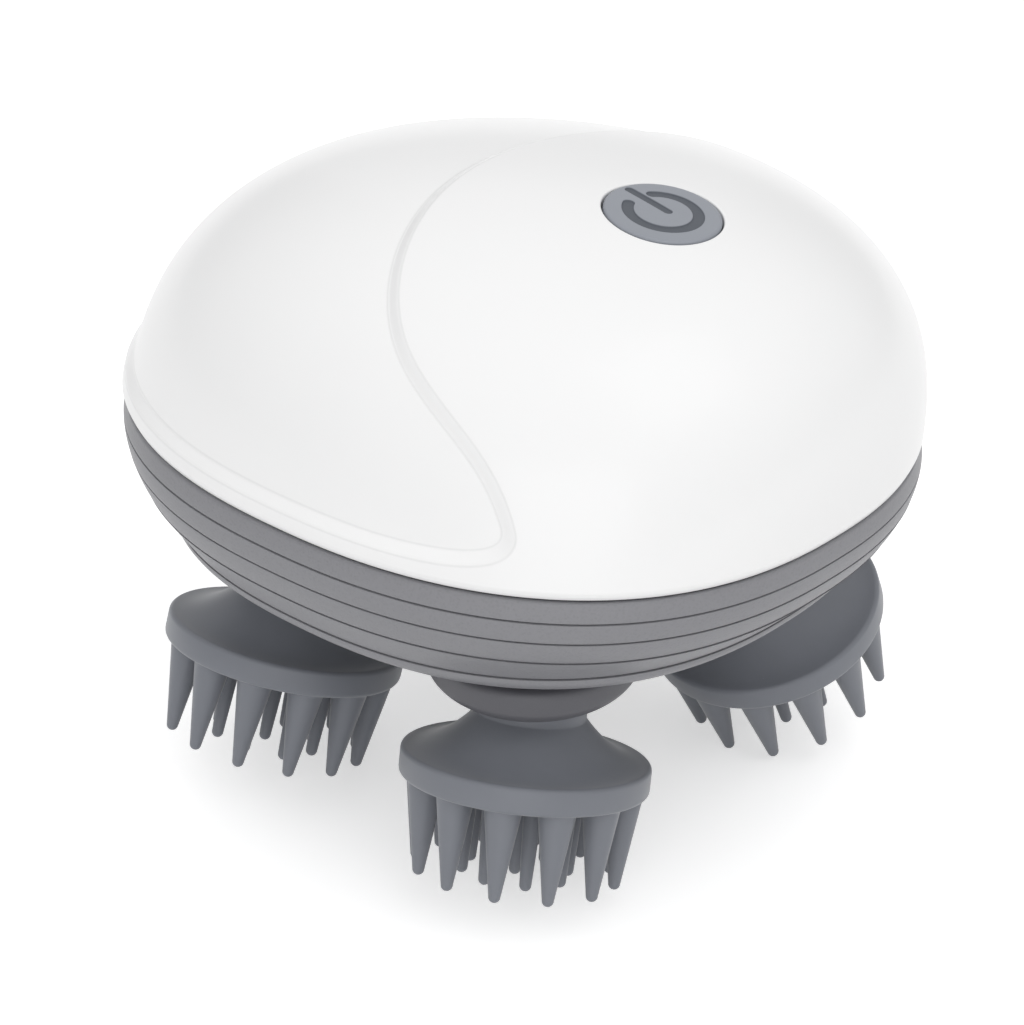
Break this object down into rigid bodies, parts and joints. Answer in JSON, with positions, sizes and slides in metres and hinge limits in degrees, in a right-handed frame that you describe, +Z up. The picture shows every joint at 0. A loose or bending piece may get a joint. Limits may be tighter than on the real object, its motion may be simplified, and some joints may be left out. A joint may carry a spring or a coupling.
{
  "type": "electric scalp massager",
  "caption": "Palm-sized domed electric scalp massager with tilted, spinning silicone finger heads, a recessed palm panel, a top power button and a ribbed lower shell.",
  "frame": {"origin": "on the floor, under the middle of the housing's bounding box; the massager stands upright on its finger tips", "axes": "+Z up; +Y along the housing's long way, towards the charging socket; +X across it, so the power button lies towards -Y"},
  "size_m": [0.1018, 0.1146, 0.0957],
  "materials": {
    "gloss_white": "polished, glossy",
    "grain_grey": "fine-grained, matt",
    "dark_plastic": "satin",
    "button_grey": "satin",
    "silicone_grey": "soft satin",
    "seal_rubber": "matt",
    "acetal": "smooth",
    "board": "satin solder mask",
    "steel": "ground",
    "bronze": "sintered, satin",
    "cell_wrap": "glossy shrink sleeve"
  },
  "bodies": {
    "housing": {"upper_shell": "gloss_white", "seam_gasket": "seal_rubber", "lower_shell": "grain_grey", "underside_plate": "grain_grey", "button_housing": "dark_plastic", "button_board": "board", "tact_switch": "steel", "button_bracket": "dark_plastic", "collar_front": "dark_plastic", "shaft_bush_front": "bronze", "shaft_seal_front": "seal_rubber", "collar_right": "dark_plastic", "shaft_bush_right": "bronze", "shaft_seal_right": "seal_rubber", "collar_left": "dark_plastic", "shaft_bush_left": "bronze", "shaft_seal_left": "seal_rubber", "collar_rear": "dark_plastic", "shaft_bush_rear": "bronze", "shaft_seal_rear": "seal_rubber", "inner_frame": "dark_plastic", "centre_pin": "steel", "motor": "steel", "battery": "cell_wrap", "charging_board": "board", "charging_socket": "steel", "frame_screws": "steel"},
    "button": {"power_button": "button_grey"},
    "head_front": {"massage_head_front": "silicone_grey", "head_core_front": "acetal", "crank_shaft_front": "steel", "crank_gear_front": "acetal"},
    "head_right": {"massage_head_right": "silicone_grey", "head_core_right": "acetal", "crank_shaft_right": "steel", "crank_gear_right": "acetal"},
    "head_left": {"massage_head_left": "silicone_grey", "head_core_left": "acetal", "crank_shaft_left": "steel", "crank_gear_left": "acetal"},
    "head_rear": {"massage_head_rear": "silicone_grey", "head_core_rear": "acetal", "crank_shaft_rear": "steel", "crank_gear_rear": "acetal"},
    "centre_wheel": {"centre_wheel": "acetal"},
    "rotor": {"pinion": "bronze", "motor_shaft": "steel"}
  },
  "joints": [
    {"name": "head_front_spin", "type": "hinge", "parent": "housing", "child": "head_front", "pos_m": [-0.02348, -0.02298, 0.03045], "axis": [0, 0, 1], "continuous": true},
    {"name": "head_right_spin", "type": "hinge", "parent": "housing", "child": "head_right", "pos_m": [0.02248, -0.02298, 0.03045], "axis": [0, 0, 1], "continuous": true},
    {"name": "head_left_spin", "type": "hinge", "parent": "housing", "child": "head_left", "pos_m": [-0.02348, 0.02298, 0.03045], "axis": [0, 0, 1], "continuous": true},
    {"name": "head_rear_spin", "type": "hinge", "parent": "housing", "child": "head_rear", "pos_m": [0.02248, 0.02298, 0.03045], "axis": [0, 0, 1], "continuous": true},
    {"name": "centre_wheel_spin", "type": "hinge", "parent": "housing", "child": "centre_wheel", "pos_m": [-0.0005, 0, 0.0485], "axis": [0, 0, 1], "continuous": true},
    {"name": "motor_spin", "type": "hinge", "parent": "housing", "child": "rotor", "pos_m": [-0.0005, 0.0272, 0.0535], "axis": [0, 0, 1], "continuous": true},
    {"name": "button_press", "type": "slide", "parent": "housing", "child": "button", "axis": [-0.0735, 0.1223, -0.9898], "range_m": [0, 0.0005], "stiffness_N_per_m": 2000}
  ],
  "couplings": [
    {"joint": "head_front_spin", "follows": "centre_wheel_spin", "ratio": -1.1667},
    {"joint": "head_right_spin", "follows": "centre_wheel_spin", "ratio": -1.1667},
    {"joint": "head_left_spin", "follows": "centre_wheel_spin", "ratio": -1.1667},
    {"joint": "head_rear_spin", "follows": "centre_wheel_spin", "ratio": -1.1667},
    {"joint": "motor_spin", "follows": "centre_wheel_spin", "ratio": -3.8571}
  ]
}
